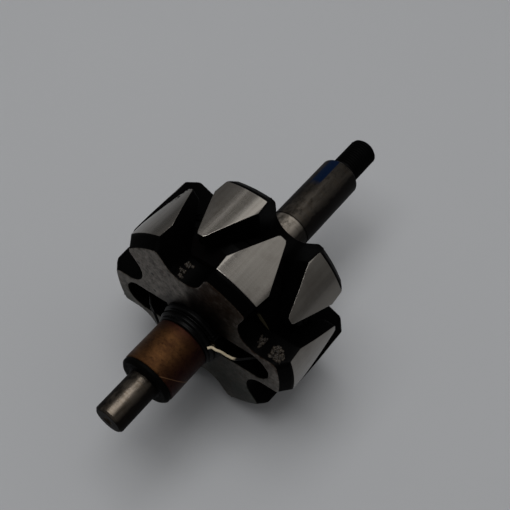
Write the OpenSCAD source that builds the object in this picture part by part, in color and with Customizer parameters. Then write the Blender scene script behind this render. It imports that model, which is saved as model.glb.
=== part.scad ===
// Alternator rotor: two claw poles on a stepped shaft, a field winding between them,
// a slip ring on the plain end.
// The shaft line is X. The threaded drive end points to +X, the slip ring end to -X, up is +Z.
// X = 0 is the middle plane between the two claw poles.

/* [Claw poles] */
// Outer radius of the ground claw faces
claw_r = 41; // [39.5:0.1:43]
// Distance of each outer pole face from the middle plane
pole_face_x = 20.2; // [19.4:0.1:21.5]
// Thickness of the pole disc behind the face
pole_disc_t = 10.2; // [9.6:0.1:10.8]
// Axial length of the bevel between the face and the claw's ground surface
bevel_len = 3.6; // [2.5:0.1:4.2]
// Radial height of that bevel
bevel_drop = 3.2; // [2.4:0.1:3.8]
// Angle that a claw takes up at its root
claw_root_deg = 25.1; // [23.6:0.1:26]
// Greatest angle that a claw takes up, where its taper starts
claw_wide_deg = 27.1; // [26:0.1:28]
// Angle that a claw takes up at its blunt tip
claw_tip_deg = 5; // [3.6:0.1:6.4]
// Distance of the taper's start from the middle plane, on the root side
claw_wide_x = 10.0; // [8.8:0.1:10.6]
// Distance of the tip short of the inner side of the other pole's disc
claw_tip_back = 0.9; // [0:0.1:1.8]
// Radial thickness of a claw at its tip
claw_tip_t = 4.8; // [3.8:0.1:5.6]
// Radial thickness of a claw where it leaves the disc
claw_root_t = 12; // [11:0.1:12.6]
// Depth of the round notch between two claws, below the ground faces
notch_depth = 14.5; // [13.4:0.1:15.6]
// Turn of the upper slip side claw from straight up, so that the rotor rests on two claws
claw_turn = 21.2; // [0:0.1:60]

/* [Lead slots] */
// Wall left on each side of the slot that is cut in the slip ring side face for each lead
slot_wall = 2.1; // [1.8:0.1:3.6]
// Distance of the slot's round outer end inside the ground faces
slot_end_in = 8.2; // [7.6:0.1:10]
// Depth of the slot below the face
slot_depth = 5.6; // [4:0.1:6.5]
// Radius of the hole from the slot into the winding space
lead_hole_r = 2.4; // [1.8:0.1:3]

/* [Shaft] */
// Radius of the drive side seat for bearing and pulley
drive_r = 8.5; // [8.1:0.05:8.9]
// Radius of the plain journal at the slip ring end
stub_r = 6; // [5.5:0.05:6.5]
// Radius of the shaft under the slip ring hub
hub_seat_r = 7; // [6.8:0.05:7.4]
// Radius of the shaft inside the poles
pole_seat_r = 9; // [9:0.05:9.6]
// Outer radius of the threaded end
thread_r = 6; // [5.5:0.05:6.5]
// Length of the plain journal beyond the end collar
stub_len = 17.8; // [14:0.1:24]
// Length of the drive seat from the pole face
drive_len = 52.9; // [46:0.1:60]
// Length of the threaded end
thread_len = 17.7; // [14:0.1:22]
// Chamfer on the drive seat's end
drive_chamfer = 1.1; // [0.5:0.1:1.6]
// Chamfer on the plain end and on the threaded tip
end_chamfer = 0.8; // [0.4:0.1:1.4]
// Distance of the fine groove round the drive seat from the pole face
groove_at = 17.3; // [12:0.1:30]
// Width of that groove
groove_w = 0.7; // [0.4:0.1:1.2]
// Depth of that groove
groove_depth = 0.3; // [0.1:0.05:0.5]
// Radius of the centre hole in each end
centre_hole_r = 2; // [1.4:0.1:2.6]
// Depth of the centre holes
centre_hole_depth = 2.8; // [1.6:0.1:3.6]

/* [Field winding] */
// Radial depth of the winding space, from the pole core to the flange rim
coil_depth = 8; // [7.6:0.1:9]
// Wall of the bobbin tube
bobbin_wall = 1; // [0.8:0.1:1.4]
// Thickness of each bobbin flange
flange_t = 0.8; // [0.6:0.05:1]
// Thickness of each insulating washer
washer_t = 0.4; // [0.3:0.05:0.6]
// Free space between the rim of flanges and washers and the claws' roots
flange_gap = 0.5; // [0.4:0.05:0.8]
// Free space between the winding's crown and the claws at the middle plane
crown_gap = 1.4; // [1.2:0.05:2]
// Thickness of the tape over the winding
tape_t = 0.5; // [0.3:0.05:0.6]
// Free space between resin and claws
resin_gap = 0.1; // [0.05:0.05:0.2]

/* [Slip ring] */
// Wall of the hub tube inside the slip ring
hub_wall = 1.95; // [1.5:0.05:2.4]
// Wall of the slip ring
ring_wall = 1.8; // [1.3:0.1:2.2]
// Length of the hub between the pole face and the slip ring
hub_len = 6.5; // [6:0.1:7.8]
// Length of the slip ring
ring_len = 18.5; // [15:0.1:20.5]
// Length of the end collar beyond the slip ring
collar_len = 2.2; // [1.6:0.1:3]
// Height of the hub's foot on the pole face above the slip ring
hub_foot_h = 2.25; // [2:0.05:2.9]
// Height of the hub's middle ridge above the slip ring
hub_ridge_h = 1.55; // [1.2:0.05:1.8]
// Height of the hub's shoulder above the slip ring
hub_shoulder_h = 0.65; // [0.45:0.05:1.05]

/* [Leads] */
// Radius of a lead wire
lead_r = 0.45; // [0.35:0.05:0.55]
// Radius of the sleeve round a lead
sleeve_r = 1.1; // [0.9:0.05:1.3]
// Distance of the lead hole inside the flange rim
lead_hole_in = 2.5; // [2.3:0.1:3.1]
// Thickness of a lead tag
tag_t = 0.6; // [0.5:0.05:0.8]
// Width of a lead tag
tag_w = 3; // [2.4:0.1:3.6]
// Turn of a lead tag from the middle line of its slot, toward the top of the rotor
tag_turn = 20; // [14:0.5:24]
// Free space round a sleeve in washer and flange
sleeve_gap = 0.05; // [0.05:0.05:0.15]

/* [Hidden] */
$fn = 96;
claw_count = 6;
pitch = 360 / claw_count;
inner_x = pole_face_x - pole_disc_t;
claw_root_w = round(20 * claw_r * sin(claw_root_deg / 2)) / 10;
claw_wide_w = round(20 * claw_r * sin(claw_wide_deg / 2)) / 10;
claw_tip_w = round(20 * claw_r * sin(claw_tip_deg / 2)) / 10;
claw_tip_x = inner_x - claw_tip_back;
claw_root_in_r = claw_r - claw_root_t;
notch_bottom_r = claw_r - notch_depth;
notch_apex = claw_root_w / 2 / sin(pitch / 2);
notch_r = notch_bottom_r - notch_apex;
notch_at = notch_apex + 2 * notch_r;
slot_w = claw_root_w - 2 * slot_wall;
slot_end_r = claw_r - slot_end_in;
lead_turns = [pitch, pitch + 180];
drive_end_x = pole_face_x + drive_len;
thread_end_x = drive_end_x + thread_len;
groove_x = pole_face_x + groove_at;
ring_near_x = pole_face_x + hub_len;
ring_far_x = ring_near_x + ring_len;
collar_end_x = ring_far_x + collar_len;
stub_end_x = collar_end_x + stub_len;
ring_in_r = hub_seat_r + hub_wall;
ring_r = ring_in_r + ring_wall;
hub_foot_r = ring_r + hub_foot_h;
hub_ridge_r = ring_r + hub_ridge_h;
hub_shoulder_r = ring_r + hub_shoulder_h;
coil_x = inner_x - washer_t - flange_t;
claw_slope = (claw_root_t - claw_tip_t) / (claw_tip_x + inner_x);
flange_r = claw_root_in_r - flange_gap;
core_r = flange_r - coil_depth;
crown_x = coil_x * 0.5;
crown_h = claw_root_in_r + inner_x * claw_slope - crown_gap - flange_r;
lead_hole_at = flange_r - lead_hole_in;
lug_x = pole_face_x + hub_len * 0.5;
tag_in = hub_ridge_r + 0.1;
tag_out = hub_foot_r + 1.6;

// Turns a shape built on the Z line, with local X up, so that its line lies along X.
module along_shaft() {
    rotate([0, 90, 0])
        rotate([0, 0, 180])
            children();
}

// Radius of the claw's inner side at an axial distance from the slip side disc.
function claw_in_r(z) = claw_root_in_r + (z + inner_x) * claw_slope;

// Disc of one pole with the bevel at its rim, round all the way.
module disc_round() {
    rotate_extrude()
        polygon([
            [pole_seat_r, -pole_face_x],
            [claw_r - bevel_drop, -pole_face_x],
            [claw_r, -pole_face_x + bevel_len],
            [claw_r, -inner_x],
            [pole_seat_r, -inner_x]
        ]);
}

// Shell from which the claws are cut, thick at the root and thin at the tip.
module claw_shell() {
    rotate_extrude()
        polygon([
            [claw_root_in_r, -inner_x],
            [claw_root_in_r, -pole_face_x + bevel_len],
            [claw_r, -pole_face_x + bevel_len],
            [claw_r, claw_tip_x],
            [claw_r - claw_tip_t, claw_tip_x]
        ]);
}

// Flank outline of one claw, extruded outward from the shaft line.
module claw_prism() {
    rw = claw_root_w / 2;
    ww = claw_wide_w / 2;
    tw = claw_tip_w / 2;
    rotate([0, 90, 0])
        translate([0, 0, notch_bottom_r])
            linear_extrude(height = claw_r - notch_bottom_r + 1)
                polygon([
                    [pole_face_x + 1, -rw],
                    [pole_face_x - bevel_len, -rw],
                    [claw_wide_x, -ww],
                    [-claw_tip_x + 0.8, -tw],
                    [-claw_tip_x - 0.2, -tw + 0.8],
                    [-claw_tip_x - 0.2, tw - 0.8],
                    [-claw_tip_x + 0.8, tw],
                    [claw_wide_x, ww],
                    [pole_face_x - bevel_len, rw],
                    [pole_face_x + 1, rw]
                ]);
}

// Round notch between two claws, open to the outside, through the disc.
module notch() {
    tx = notch_at - notch_r * sin(pitch / 2);
    ty = notch_r * cos(pitch / 2);
    run = claw_r + 4 - tx;
    translate([0, 0, -pole_face_x - 1]) {
        translate([notch_at, 0, 0])
            cylinder(r = notch_r, h = pole_disc_t + 2);
        linear_extrude(height = pole_disc_t + 2)
            polygon([
                [tx, -ty],
                [tx + run, -ty - run * tan(pitch / 2)],
                [tx + run, ty + run * tan(pitch / 2)],
                [tx, ty]
            ]);
    }
}

// One claw pole on the Z line, face toward -Z, one claw toward local X.
module claw_pole() {
    union() {
        difference() {
            disc_round();
            for (k = [0 : claw_count - 1])
                rotate([0, 0, (k + 0.5) * pitch])
                    notch();
        }
        for (k = [0 : claw_count - 1])
            rotate([0, 0, k * pitch])
                intersection() {
                    claw_shell();
                    claw_prism();
                }
    }
}

// Slot for one lead with the hole at its outer end.
module lead_slot() {
    end_at = slot_end_r - slot_w / 2;
    translate([0, 0, -pole_face_x - 1]) {
        translate([end_at, 0, 0])
            cylinder(r = slot_w / 2, h = slot_depth + 1);
        translate([hub_foot_r - 1, -slot_w / 2, 0])
            cube([end_at - hub_foot_r + 1, slot_w, slot_depth + 1]);
        translate([lead_hole_at, 0, 0])
            cylinder(r = lead_hole_r, h = pole_disc_t + 2);
    }
}

module slip_end_pole() {
    color("#8d8f8c")
        along_shaft()
            rotate([0, 0, claw_turn])
                difference() {
                    claw_pole();
                    for (t = lead_turns)
                        rotate([0, 0, t])
                            lead_slot();
                }
}

module drive_end_pole() {
    color("#8d8f8c")
        along_shaft()
            rotate([0, 0, claw_turn + pitch / 2])
                rotate([180, 0, 0])
                    claw_pole();
}

module shaft() {
    color("#b9b7b2")
        along_shaft()
            rotate_extrude()
                polygon([
                    [0, -stub_end_x + centre_hole_depth],
                    [centre_hole_r, -stub_end_x],
                    [stub_r - end_chamfer, -stub_end_x],
                    [stub_r, -stub_end_x + end_chamfer],
                    [stub_r, -collar_end_x],
                    [hub_seat_r, -collar_end_x],
                    [hub_seat_r, -pole_face_x],
                    [pole_seat_r, -pole_face_x],
                    [pole_seat_r, pole_face_x],
                    [drive_r, pole_face_x],
                    [drive_r, groove_x - groove_w / 2],
                    [drive_r - groove_depth, groove_x - groove_w / 2],
                    [drive_r - groove_depth, groove_x + groove_w / 2],
                    [drive_r, groove_x + groove_w / 2],
                    [drive_r, drive_end_x - drive_chamfer],
                    [drive_r - drive_chamfer, drive_end_x],
                    [thread_r, drive_end_x],
                    [thread_r, thread_end_x - end_chamfer],
                    [thread_r - end_chamfer, thread_end_x],
                    [centre_hole_r, thread_end_x],
                    [0, thread_end_x - centre_hole_depth]
                ]);
}

module pole_core() {
    color("#77787a")
        along_shaft()
            rotate_extrude()
                polygon([
                    [pole_seat_r, -inner_x],
                    [core_r, -inner_x],
                    [core_r, inner_x],
                    [pole_seat_r, inner_x]
                ]);
}

// Hole for a lead sleeve at its place in the slip side washer and flange.
module sleeve_hole(t) {
    rotate([0, 0, claw_turn + t])
        translate([lead_hole_at, 0, -inner_x - 1])
            cylinder(r = sleeve_r + sleeve_gap, h = inner_x - coil_x + 1.2, $fn = 48);
}

module coil_bobbin() {
    bx = inner_x - washer_t;
    color("#b49a6c")
        along_shaft()
            difference() {
                rotate_extrude()
                    polygon([
                        [core_r, -bx],
                        [flange_r, -bx],
                        [flange_r, -coil_x],
                        [core_r + bobbin_wall, -coil_x],
                        [core_r + bobbin_wall, coil_x],
                        [flange_r, coil_x],
                        [flange_r, bx],
                        [core_r, bx]
                    ]);
                for (t = lead_turns)
                    intersection() {
                        sleeve_hole(t);
                        translate([0, 0, -bx - 1])
                            cylinder(r = flange_r + 1, h = bx - coil_x + 1);
                    }
            }
}

module field_winding() {
    color("#3a1f12")
        along_shaft()
            rotate_extrude()
                polygon([
                    [core_r + bobbin_wall, -coil_x],
                    [flange_r - tape_t, -coil_x],
                    [flange_r - tape_t + crown_h * 0.6, -crown_x],
                    [flange_r - tape_t + crown_h, 0],
                    [flange_r - tape_t + crown_h * 0.6, crown_x],
                    [flange_r - tape_t, coil_x],
                    [core_r + bobbin_wall, coil_x]
                ]);
}

module coil_tape() {
    color("#1f1b18")
        along_shaft()
            rotate_extrude()
                polygon([
                    [flange_r - tape_t, -coil_x],
                    [flange_r, -coil_x],
                    [flange_r + crown_h * 0.6, -crown_x],
                    [flange_r + crown_h, 0],
                    [flange_r + crown_h * 0.6, crown_x],
                    [flange_r, coil_x],
                    [flange_r - tape_t, coil_x],
                    [flange_r - tape_t + crown_h * 0.6, crown_x],
                    [flange_r - tape_t + crown_h, 0],
                    [flange_r - tape_t + crown_h * 0.6, -crown_x]
                ]);
}

module washer_ring() {
    rotate_extrude()
        polygon([
            [core_r, -inner_x],
            [flange_r, -inner_x],
            [flange_r, -inner_x + washer_t],
            [core_r, -inner_x + washer_t]
        ]);
}

module slip_side_washer() {
    color("#c2ae85")
        along_shaft()
            difference() {
                washer_ring();
                for (t = lead_turns)
                    sleeve_hole(t);
            }
}

module drive_side_washer() {
    color("#c2ae85")
        along_shaft()
            rotate([180, 0, 0])
                washer_ring();
}

// Varnish resin that fills the corner between flange rim, tape and claws.
module resin_ring() {
    rotate_extrude()
        polygon([
            [flange_r, -inner_x],
            [claw_root_in_r - resin_gap, -inner_x],
            [claw_in_r(-crown_x) - resin_gap, -crown_x],
            [flange_r + crown_h * 0.6, -crown_x],
            [flange_r, -coil_x]
        ]);
}

module slip_side_resin() {
    color("#2a211a")
        along_shaft()
            resin_ring();
}

module drive_side_resin() {
    color("#2a211a")
        along_shaft()
            rotate([180, 0, 0])
                resin_ring();
}

module slip_ring_hub() {
    color("#141414")
        along_shaft()
            union() {
                rotate_extrude()
                    polygon([
                        [hub_seat_r, -pole_face_x],
                        [hub_foot_r, -pole_face_x],
                        [hub_foot_r, -pole_face_x - hub_len * 0.246],
                        [hub_foot_r - 0.5, -pole_face_x - hub_len * 0.323],
                        [hub_ridge_r - 0.7, -pole_face_x - hub_len * 0.354],
                        [hub_ridge_r - 0.7, -pole_face_x - hub_len * 0.446],
                        [hub_ridge_r, -pole_face_x - hub_len * 0.508],
                        [hub_ridge_r, -pole_face_x - hub_len * 0.677],
                        [hub_ridge_r - 0.4, -pole_face_x - hub_len * 0.738],
                        [hub_shoulder_r, -pole_face_x - hub_len * 0.769],
                        [hub_shoulder_r, -ring_near_x + hub_len * 0.06],
                        [hub_shoulder_r - 0.4, -ring_near_x],
                        [ring_in_r, -ring_near_x],
                        [ring_in_r, -ring_far_x],
                        [hub_seat_r, -ring_far_x]
                    ]);
                for (t = lead_turns)
                    rotate([0, 0, claw_turn + t - tag_turn])
                        translate([hub_seat_r + 2, -tag_w / 2 - 1, -lug_x])
                            cube([tag_out - hub_seat_r - 2, tag_w + 2, lug_x - pole_face_x]);
            }
}

module slip_ring() {
    color("#8a5a34")
        along_shaft()
            rotate_extrude()
                polygon([
                    [ring_in_r, -ring_far_x],
                    [ring_r - 0.3, -ring_far_x],
                    [ring_r, -ring_far_x + 0.3],
                    [ring_r, -ring_near_x - 0.3],
                    [ring_r - 0.3, -ring_near_x],
                    [ring_in_r, -ring_near_x]
                ]);
}

module ring_end_collar() {
    color("#191817")
        along_shaft()
            rotate_extrude()
                polygon([
                    [hub_seat_r, -collar_end_x],
                    [ring_r - 1.2, -collar_end_x],
                    [ring_r - 0.2, -collar_end_x + 1],
                    [ring_r - 0.2, -ring_far_x],
                    [hub_seat_r, -ring_far_x]
                ]);
}

module lead_tag(t) {
    color("#a8865a")
        along_shaft()
            rotate([0, 0, claw_turn + t - tag_turn])
                translate([tag_in, -tag_w / 2, -lug_x - tag_t])
                    cube([tag_out - tag_in, tag_w, tag_t]);
}

module lead_tag_a() {
    lead_tag(lead_turns[0]);
}

module lead_tag_b() {
    lead_tag(lead_turns[1]);
}

// Straight piece of round wire from p to q.
module wire_piece(p, q) {
    d = q - p;
    len = norm(d);
    translate(p)
        rotate([0, acos(d[2] / len), atan2(d[1], d[0])])
            cylinder(r = lead_r, h = len, $fn = 24);
}

// Lead from its tag, over the slot's lip, down the hole to the winding; the slot's middle line is local X.
module lead_wire(t) {
    top = -lug_x - tag_t - lead_r;
    span = lead_hole_at - tag_out;
    lean = tag_out * sin(tag_turn);
    start = tag_in + 0.8;
    path = [
        [start * cos(tag_turn), -start * sin(tag_turn), top],
        [(tag_out + 0.1) * cos(tag_turn * 0.85), -(tag_out + 0.1) * sin(tag_turn * 0.85), top],
        [tag_out + span * 0.088, -lean * 0.68, top + 0.8],
        [tag_out + span * 0.263, -lean * 0.24, -pole_face_x - 2.5],
        [tag_out + span * 0.465, 0, -pole_face_x - 1.4],
        [tag_out + span * 0.7, lean * 0.12, -pole_face_x + 1.2],
        [tag_out + span * 0.912, lean * 0.06, -pole_face_x + 3.4],
        [lead_hole_at, 0, -pole_face_x + slot_depth - 0.4],
        [lead_hole_at, 0, -coil_x]
    ];
    color("#cdbb97")
        along_shaft()
            rotate([0, 0, claw_turn + t])
                union() {
                    for (i = [0 : len(path) - 2])
                        wire_piece(path[i], path[i + 1]);
                    for (i = [0 : len(path) - 2])
                        translate(path[i])
                            sphere(r = lead_r + 0.03, $fn = 24);
                }
}

module lead_wire_a() {
    lead_wire(lead_turns[0]);
}

module lead_wire_b() {
    lead_wire(lead_turns[1]);
}

module lead_sleeve(t) {
    color("#20201f")
        along_shaft()
            rotate([0, 0, claw_turn + t])
                translate([lead_hole_at, 0, 0])
                    rotate_extrude($fn = 48)
                        polygon([
                            [lead_r, -pole_face_x + slot_depth],
                            [sleeve_r, -pole_face_x + slot_depth],
                            [sleeve_r, -coil_x],
                            [lead_r, -coil_x]
                        ]);
}

module lead_sleeve_a() {
    lead_sleeve(lead_turns[0]);
}

module lead_sleeve_b() {
    lead_sleeve(lead_turns[1]);
}

shaft();
slip_end_pole();
drive_end_pole();
pole_core();
coil_bobbin();
field_winding();
coil_tape();
slip_side_washer();
drive_side_washer();
slip_side_resin();
drive_side_resin();
slip_ring_hub();
slip_ring();
ring_end_collar();
lead_tag_a();
lead_tag_b();
lead_wire_a();
lead_wire_b();
lead_sleeve_a();
lead_sleeve_b();
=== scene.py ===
"""Looks of the alternator rotor: finishes, thread, rounded edges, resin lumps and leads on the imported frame."""
import logging
import math
from dataclasses import dataclass, field
from enum import Enum
from typing import Any, Callable

import bmesh
import bpy
from mathutils import Matrix, Vector


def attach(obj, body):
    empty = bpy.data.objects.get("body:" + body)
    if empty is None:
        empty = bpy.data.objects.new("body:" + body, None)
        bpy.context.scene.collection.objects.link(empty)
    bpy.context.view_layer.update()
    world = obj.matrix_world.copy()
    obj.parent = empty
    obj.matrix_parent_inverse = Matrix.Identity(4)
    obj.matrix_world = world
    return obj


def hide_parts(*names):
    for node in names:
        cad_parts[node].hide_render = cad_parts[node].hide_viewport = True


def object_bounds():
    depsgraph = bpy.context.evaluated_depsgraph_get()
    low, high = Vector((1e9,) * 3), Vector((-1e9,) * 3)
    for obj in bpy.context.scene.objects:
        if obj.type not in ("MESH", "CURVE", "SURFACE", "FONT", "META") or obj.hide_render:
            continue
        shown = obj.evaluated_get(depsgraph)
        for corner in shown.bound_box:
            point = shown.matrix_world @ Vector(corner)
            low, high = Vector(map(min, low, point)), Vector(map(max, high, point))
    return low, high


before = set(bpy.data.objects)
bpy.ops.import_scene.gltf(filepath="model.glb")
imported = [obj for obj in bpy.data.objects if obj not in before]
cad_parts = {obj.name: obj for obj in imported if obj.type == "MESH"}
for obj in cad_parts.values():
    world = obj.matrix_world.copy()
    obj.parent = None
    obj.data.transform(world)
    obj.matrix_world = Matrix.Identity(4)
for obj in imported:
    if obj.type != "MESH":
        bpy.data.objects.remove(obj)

CAD_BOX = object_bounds()
MM = 0.001
FULL_TURN = 360.0
# Edges of a CAD node: points closer than WELD_M are one, faces flatter than FLAT_DEG are one, sharper edges are broken.
WELD_M, FLAT_DEG, SHARP_DEG, BEVEL_STEPS = 2e-6, 0.6, 24.0, 4
# Claw roots lie beyond ROOT_X and ROOT_R; their bevel starts past BEVEL_X and the pole face past FACE_X, in mm.
ROOT_X, ROOT_R, BEVEL_X, FACE_X = 9.9, 32.0, 16.5, 20.1
# How far an edge's way goes round the disc: below ACROSS it is a claw's corner, above ROUND a rim.
ACROSS, ROUND = 0.5, 0.8
LOG = logging.getLogger("rotor")
Profile = list[tuple[float, float]]
Socket = bpy.types.NodeSocket


class LeadSide(Enum):
    """The two leads; the value is the place of their slot round the shaft, in degrees from the top."""

    A = -81.2
    B = 98.8


def linear(code: str) -> tuple[float, float, float, float]:
    """Turns an sRGB hex colour to linear RGBA.

    Args:
        code: six hex digits with a leading hash sign.

    Returns:
        Linear red, green and blue with alpha 1.
    """
    parts = [int(code[i:i + 2], 16) / 255 for i in (1, 3, 5)]
    return tuple(c / 12.92 if c <= 0.04045 else ((c + 0.055) / 1.055) ** 2.4 for c in parts) + (1.0,)


def add(tree: bpy.types.NodeTree, kind: str, feeds: dict[Any, Any] | None = None, **settings: Any) -> bpy.types.Node:
    """Adds a node, sets its properties and feeds its inputs.

    Args:
        tree: node tree of a material, world or modifier.
        kind: the node's type.
        feeds: input name or number to a value or to another node's output.
        settings: properties of the node.

    Returns:
        The new node.
    """
    node = tree.nodes.new(kind)
    for key, value in settings.items():
        setattr(node, key, value)
    for key, value in (feeds or {}).items():
        if isinstance(value, bpy.types.NodeSocket):
            tree.links.new(value, node.inputs[key])
        else:
            node.inputs[key].default_value = value
    return node


def layered(t: bpy.types.NodeTree, base: str, *layers: tuple[Socket, str]) -> Socket:
    """Lays tones over a base colour, one after the other.

    Args:
        t: a material's node tree.
        base: the colour at the bottom, as sRGB hex.
        layers: each layer's mask and sRGB hex colour, from the bottom up.

    Returns:
        The colour on top.
    """
    colour: Any = linear(base)
    for mask, shade in layers:
        feeds = {0: mask, 6: colour, 7: linear(shade)}
        colour = add(t, "ShaderNodeMix", feeds, data_type="RGBA").outputs[2]
    return colour


def blank_material(name: str) -> tuple[bpy.types.Material, bpy.types.NodeTree, bpy.types.Node]:
    """Makes a material with a bare shader.

    Args:
        name: the real material's name.

    Returns:
        The material, its node tree and its shader node.
    """
    material = bpy.data.materials.new(name)
    material.use_nodes = True
    tree = material.node_tree
    tree.nodes.clear()
    shader = add(tree, "ShaderNodeBsdfPrincipled")
    add(tree, "ShaderNodeOutputMaterial", {"Surface": shader.outputs[0]})
    return material, tree, shader


@dataclass(frozen=True)
class Place:
    """Where a shaded point lies on the rotor, as node outputs in mm and degrees."""

    mm: Socket
    x: Socket
    z: Socket
    r: Socket
    turn: Socket

    @classmethod
    def on(cls, t: bpy.types.NodeTree) -> "Place":
        """Adds the nodes that find the place.

        Args:
            t: a material's node tree.

        Returns:
            The place's outputs; turn is 0 at the top and grows toward +Y.
        """
        spot = add(t, "ShaderNodeTexCoord").outputs["Object"]
        mm = add(t, "ShaderNodeVectorMath", {0: spot, 1: (1000, 1000, 1000)}, operation="MULTIPLY").outputs[0]
        axes = add(t, "ShaderNodeSeparateXYZ", {0: mm}).outputs
        across = add(t, "ShaderNodeVectorMath", {0: mm, 1: (0, 1, 1)}, operation="MULTIPLY").outputs[0]
        radius = add(t, "ShaderNodeVectorMath", {0: across}, operation="LENGTH").outputs["Value"]
        turn = add(t, "ShaderNodeMath", {0: axes[1], 1: axes[2]}, operation="ARCTAN2").outputs[0]
        turn = add(t, "ShaderNodeMath", {0: turn}, operation="DEGREES").outputs[0]
        return cls(mm, axes[0], axes[2], radius, turn)

    def off(self, t: bpy.types.NodeTree, middle: float) -> Socket:
        """Adds the nodes that tell how far the point lies from an angle round the shaft.

        Args:
            t: the material's node tree.
            middle: the angle in degrees.

        Returns:
            The angle between them, without its sign.
        """
        away = add(t, "ShaderNodeMath", {0: self.turn, 1: middle}, operation="SUBTRACT").outputs[0]
        return add(t, "ShaderNodeMath", {0: away}, operation="ABSOLUTE").outputs[0]


def mesh_piece(name: str, mesh: bpy.types.Mesh, material: bpy.types.Material, slot: str, *nodes: str) -> None:
    """Makes a finished piece from a mesh and puts it on the rotor.

    Args:
        name: the piece's name.
        mesh: its mesh, with its place in the vertices, in metres.
        material: its finish.
        slot: the record's material slot; not used.
        nodes: CAD nodes that it stands for.
    """
    piece = bpy.data.objects.new(name, mesh)
    bpy.context.scene.collection.objects.link(piece)
    mesh.materials.clear()
    mesh.materials.append(material)
    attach(piece, "root")
    if nodes:
        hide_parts(*nodes)
    LOG.info("%s: %d faces", name, len(mesh.polygons))


def soften(mesh: bpy.types.Mesh, degrees: float) -> None:
    """Shades a mesh smooth and keeps edges sharper than an angle.

    Args:
        mesh: the mesh to shade.
        degrees: edges that turn by more than this stay sharp.
    """
    mesh.polygons.foreach_set("use_smooth", [True] * len(mesh.polygons))
    mesh.set_sharp_from_angle(angle=math.radians(degrees))


def rounded(node: str, edge_mm: float, corner_mm: float = 0.0, rim_mm: float = 0.0) -> bpy.types.Mesh:
    """Copies a CAD node, breaks its edges and rounds the corners and rims of claw roots.

    Args:
        node: name of the CAD node.
        edge_mm: width of the broken edges.
        corner_mm: width of the rounding where a claw's flank meets its bevel and its ground face near the root.
        rim_mm: width of the rounding on both edges of the bevel, round the disc.

    Returns:
        The mesh with rounded edges.
    """
    bm = bmesh.new()
    bm.from_mesh(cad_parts[node].data)
    bmesh.ops.remove_doubles(bm, verts=bm.verts, dist=WELD_M)
    bmesh.ops.dissolve_limit(bm, angle_limit=math.radians(FLAT_DEG), verts=bm.verts, edges=bm.edges)
    widest = max(edge_mm, corner_mm, rim_mm)
    weight = bm.edges.layers.float.new("bevel_weight_edge")
    for edge in bm.edges:
        if edge.calc_face_angle(0.0) < math.radians(SHARP_DEG):
            continue
        edge[weight] = edge_mm / widest
        ends = [v.co / MM for v in edge.verts]
        outer = all(abs(e.x) > ROOT_X and math.hypot(e.y, e.z) > ROOT_R for e in ends)
        on_face = all(abs(e.x) > FACE_X for e in ends)
        middle = (ends[0] + ends[1]) / 2
        round_way = Vector((0.0, middle.z, -middle.y)).normalized()
        across = abs((ends[1] - ends[0]).normalized().dot(round_way))
        if corner_mm and outer and not on_face and across < ACROSS:
            edge[weight] = corner_mm / widest
        elif rim_mm and outer and across > ROUND and all(abs(e.x) > BEVEL_X for e in ends):
            edge[weight] = rim_mm / widest
    for face in bm.faces:
        face.smooth = True
    copy = bpy.data.meshes.new(node + "_edges")
    bm.to_mesh(copy)
    bm.free()
    carrier = bpy.data.objects.new(node + "_edges", copy)
    bpy.context.scene.collection.objects.link(carrier)
    bevel = carrier.modifiers.new("edges", "BEVEL")
    bevel.width = widest * MM
    bevel.segments = BEVEL_STEPS
    bevel.limit_method = "WEIGHT"
    bevel.use_clamp_overlap = False
    # Large faces set the normals at their edges, so that they shade flat up to the rounding.
    carrier.modifiers.new("normals", "WEIGHTED_NORMAL").weight = 100
    bpy.context.view_layer.update()
    mesh = bpy.data.meshes.new_from_object(carrier.evaluated_get(bpy.context.evaluated_depsgraph_get()))
    bpy.data.objects.remove(carrier)
    return mesh


def lathe(profile: Profile, sides: int = 128) -> bpy.types.Mesh:
    """Turns a closed profile about the shaft line.

    Args:
        profile: points (distance along X, radius) in mm, from one end on the line to the other.
        sides: faces round the circle.

    Returns:
        A closed mesh in metres.
    """
    bm = bmesh.new()
    rings = []
    for x, r in profile:
        if r < 1e-6:
            rings.append([bm.verts.new((x * MM, 0.0, 0.0))])
            continue
        turns = (math.tau * k / sides for k in range(sides))
        rings.append([bm.verts.new((x * MM, r * MM * math.sin(t), r * MM * math.cos(t))) for t in turns])
    for low, high in zip(rings, rings[1:]):
        for k in range(sides):
            n = (k + 1) % sides
            corners = [low[k % len(low)], low[n % len(low)], high[n % len(high)], high[k % len(high)]]
            face = list(dict.fromkeys(corners))
            if len(face) > 2:
                bm.faces.new(face)
    bmesh.ops.recalc_face_normals(bm, faces=bm.faces)
    mesh = bpy.data.meshes.new("lathe")
    bm.to_mesh(mesh)
    bm.free()
    return mesh


def geometry_tree(name: str, inputs: dict[str, float | int]) -> tuple[bpy.types.NodeTree, Any]:
    """Starts a geometry tree with named number inputs.

    Args:
        name: the tree's name.
        inputs: input names and the values that they start with; whole numbers make integer inputs.

    Returns:
        The tree and the outputs of its input node, first the geometry.
    """
    t = bpy.data.node_groups.new(name, "GeometryNodeTree")
    t.interface.new_socket("Geometry", in_out="INPUT", socket_type="NodeSocketGeometry")
    for key, value in inputs.items():
        kind = "NodeSocketInt" if isinstance(value, int) else "NodeSocketFloat"
        t.interface.new_socket(key, in_out="INPUT", socket_type=kind).default_value = value
    t.interface.new_socket("Geometry", in_out="OUTPUT", socket_type="NodeSocketGeometry")
    return t, add(t, "NodeGroupInput").outputs


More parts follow.
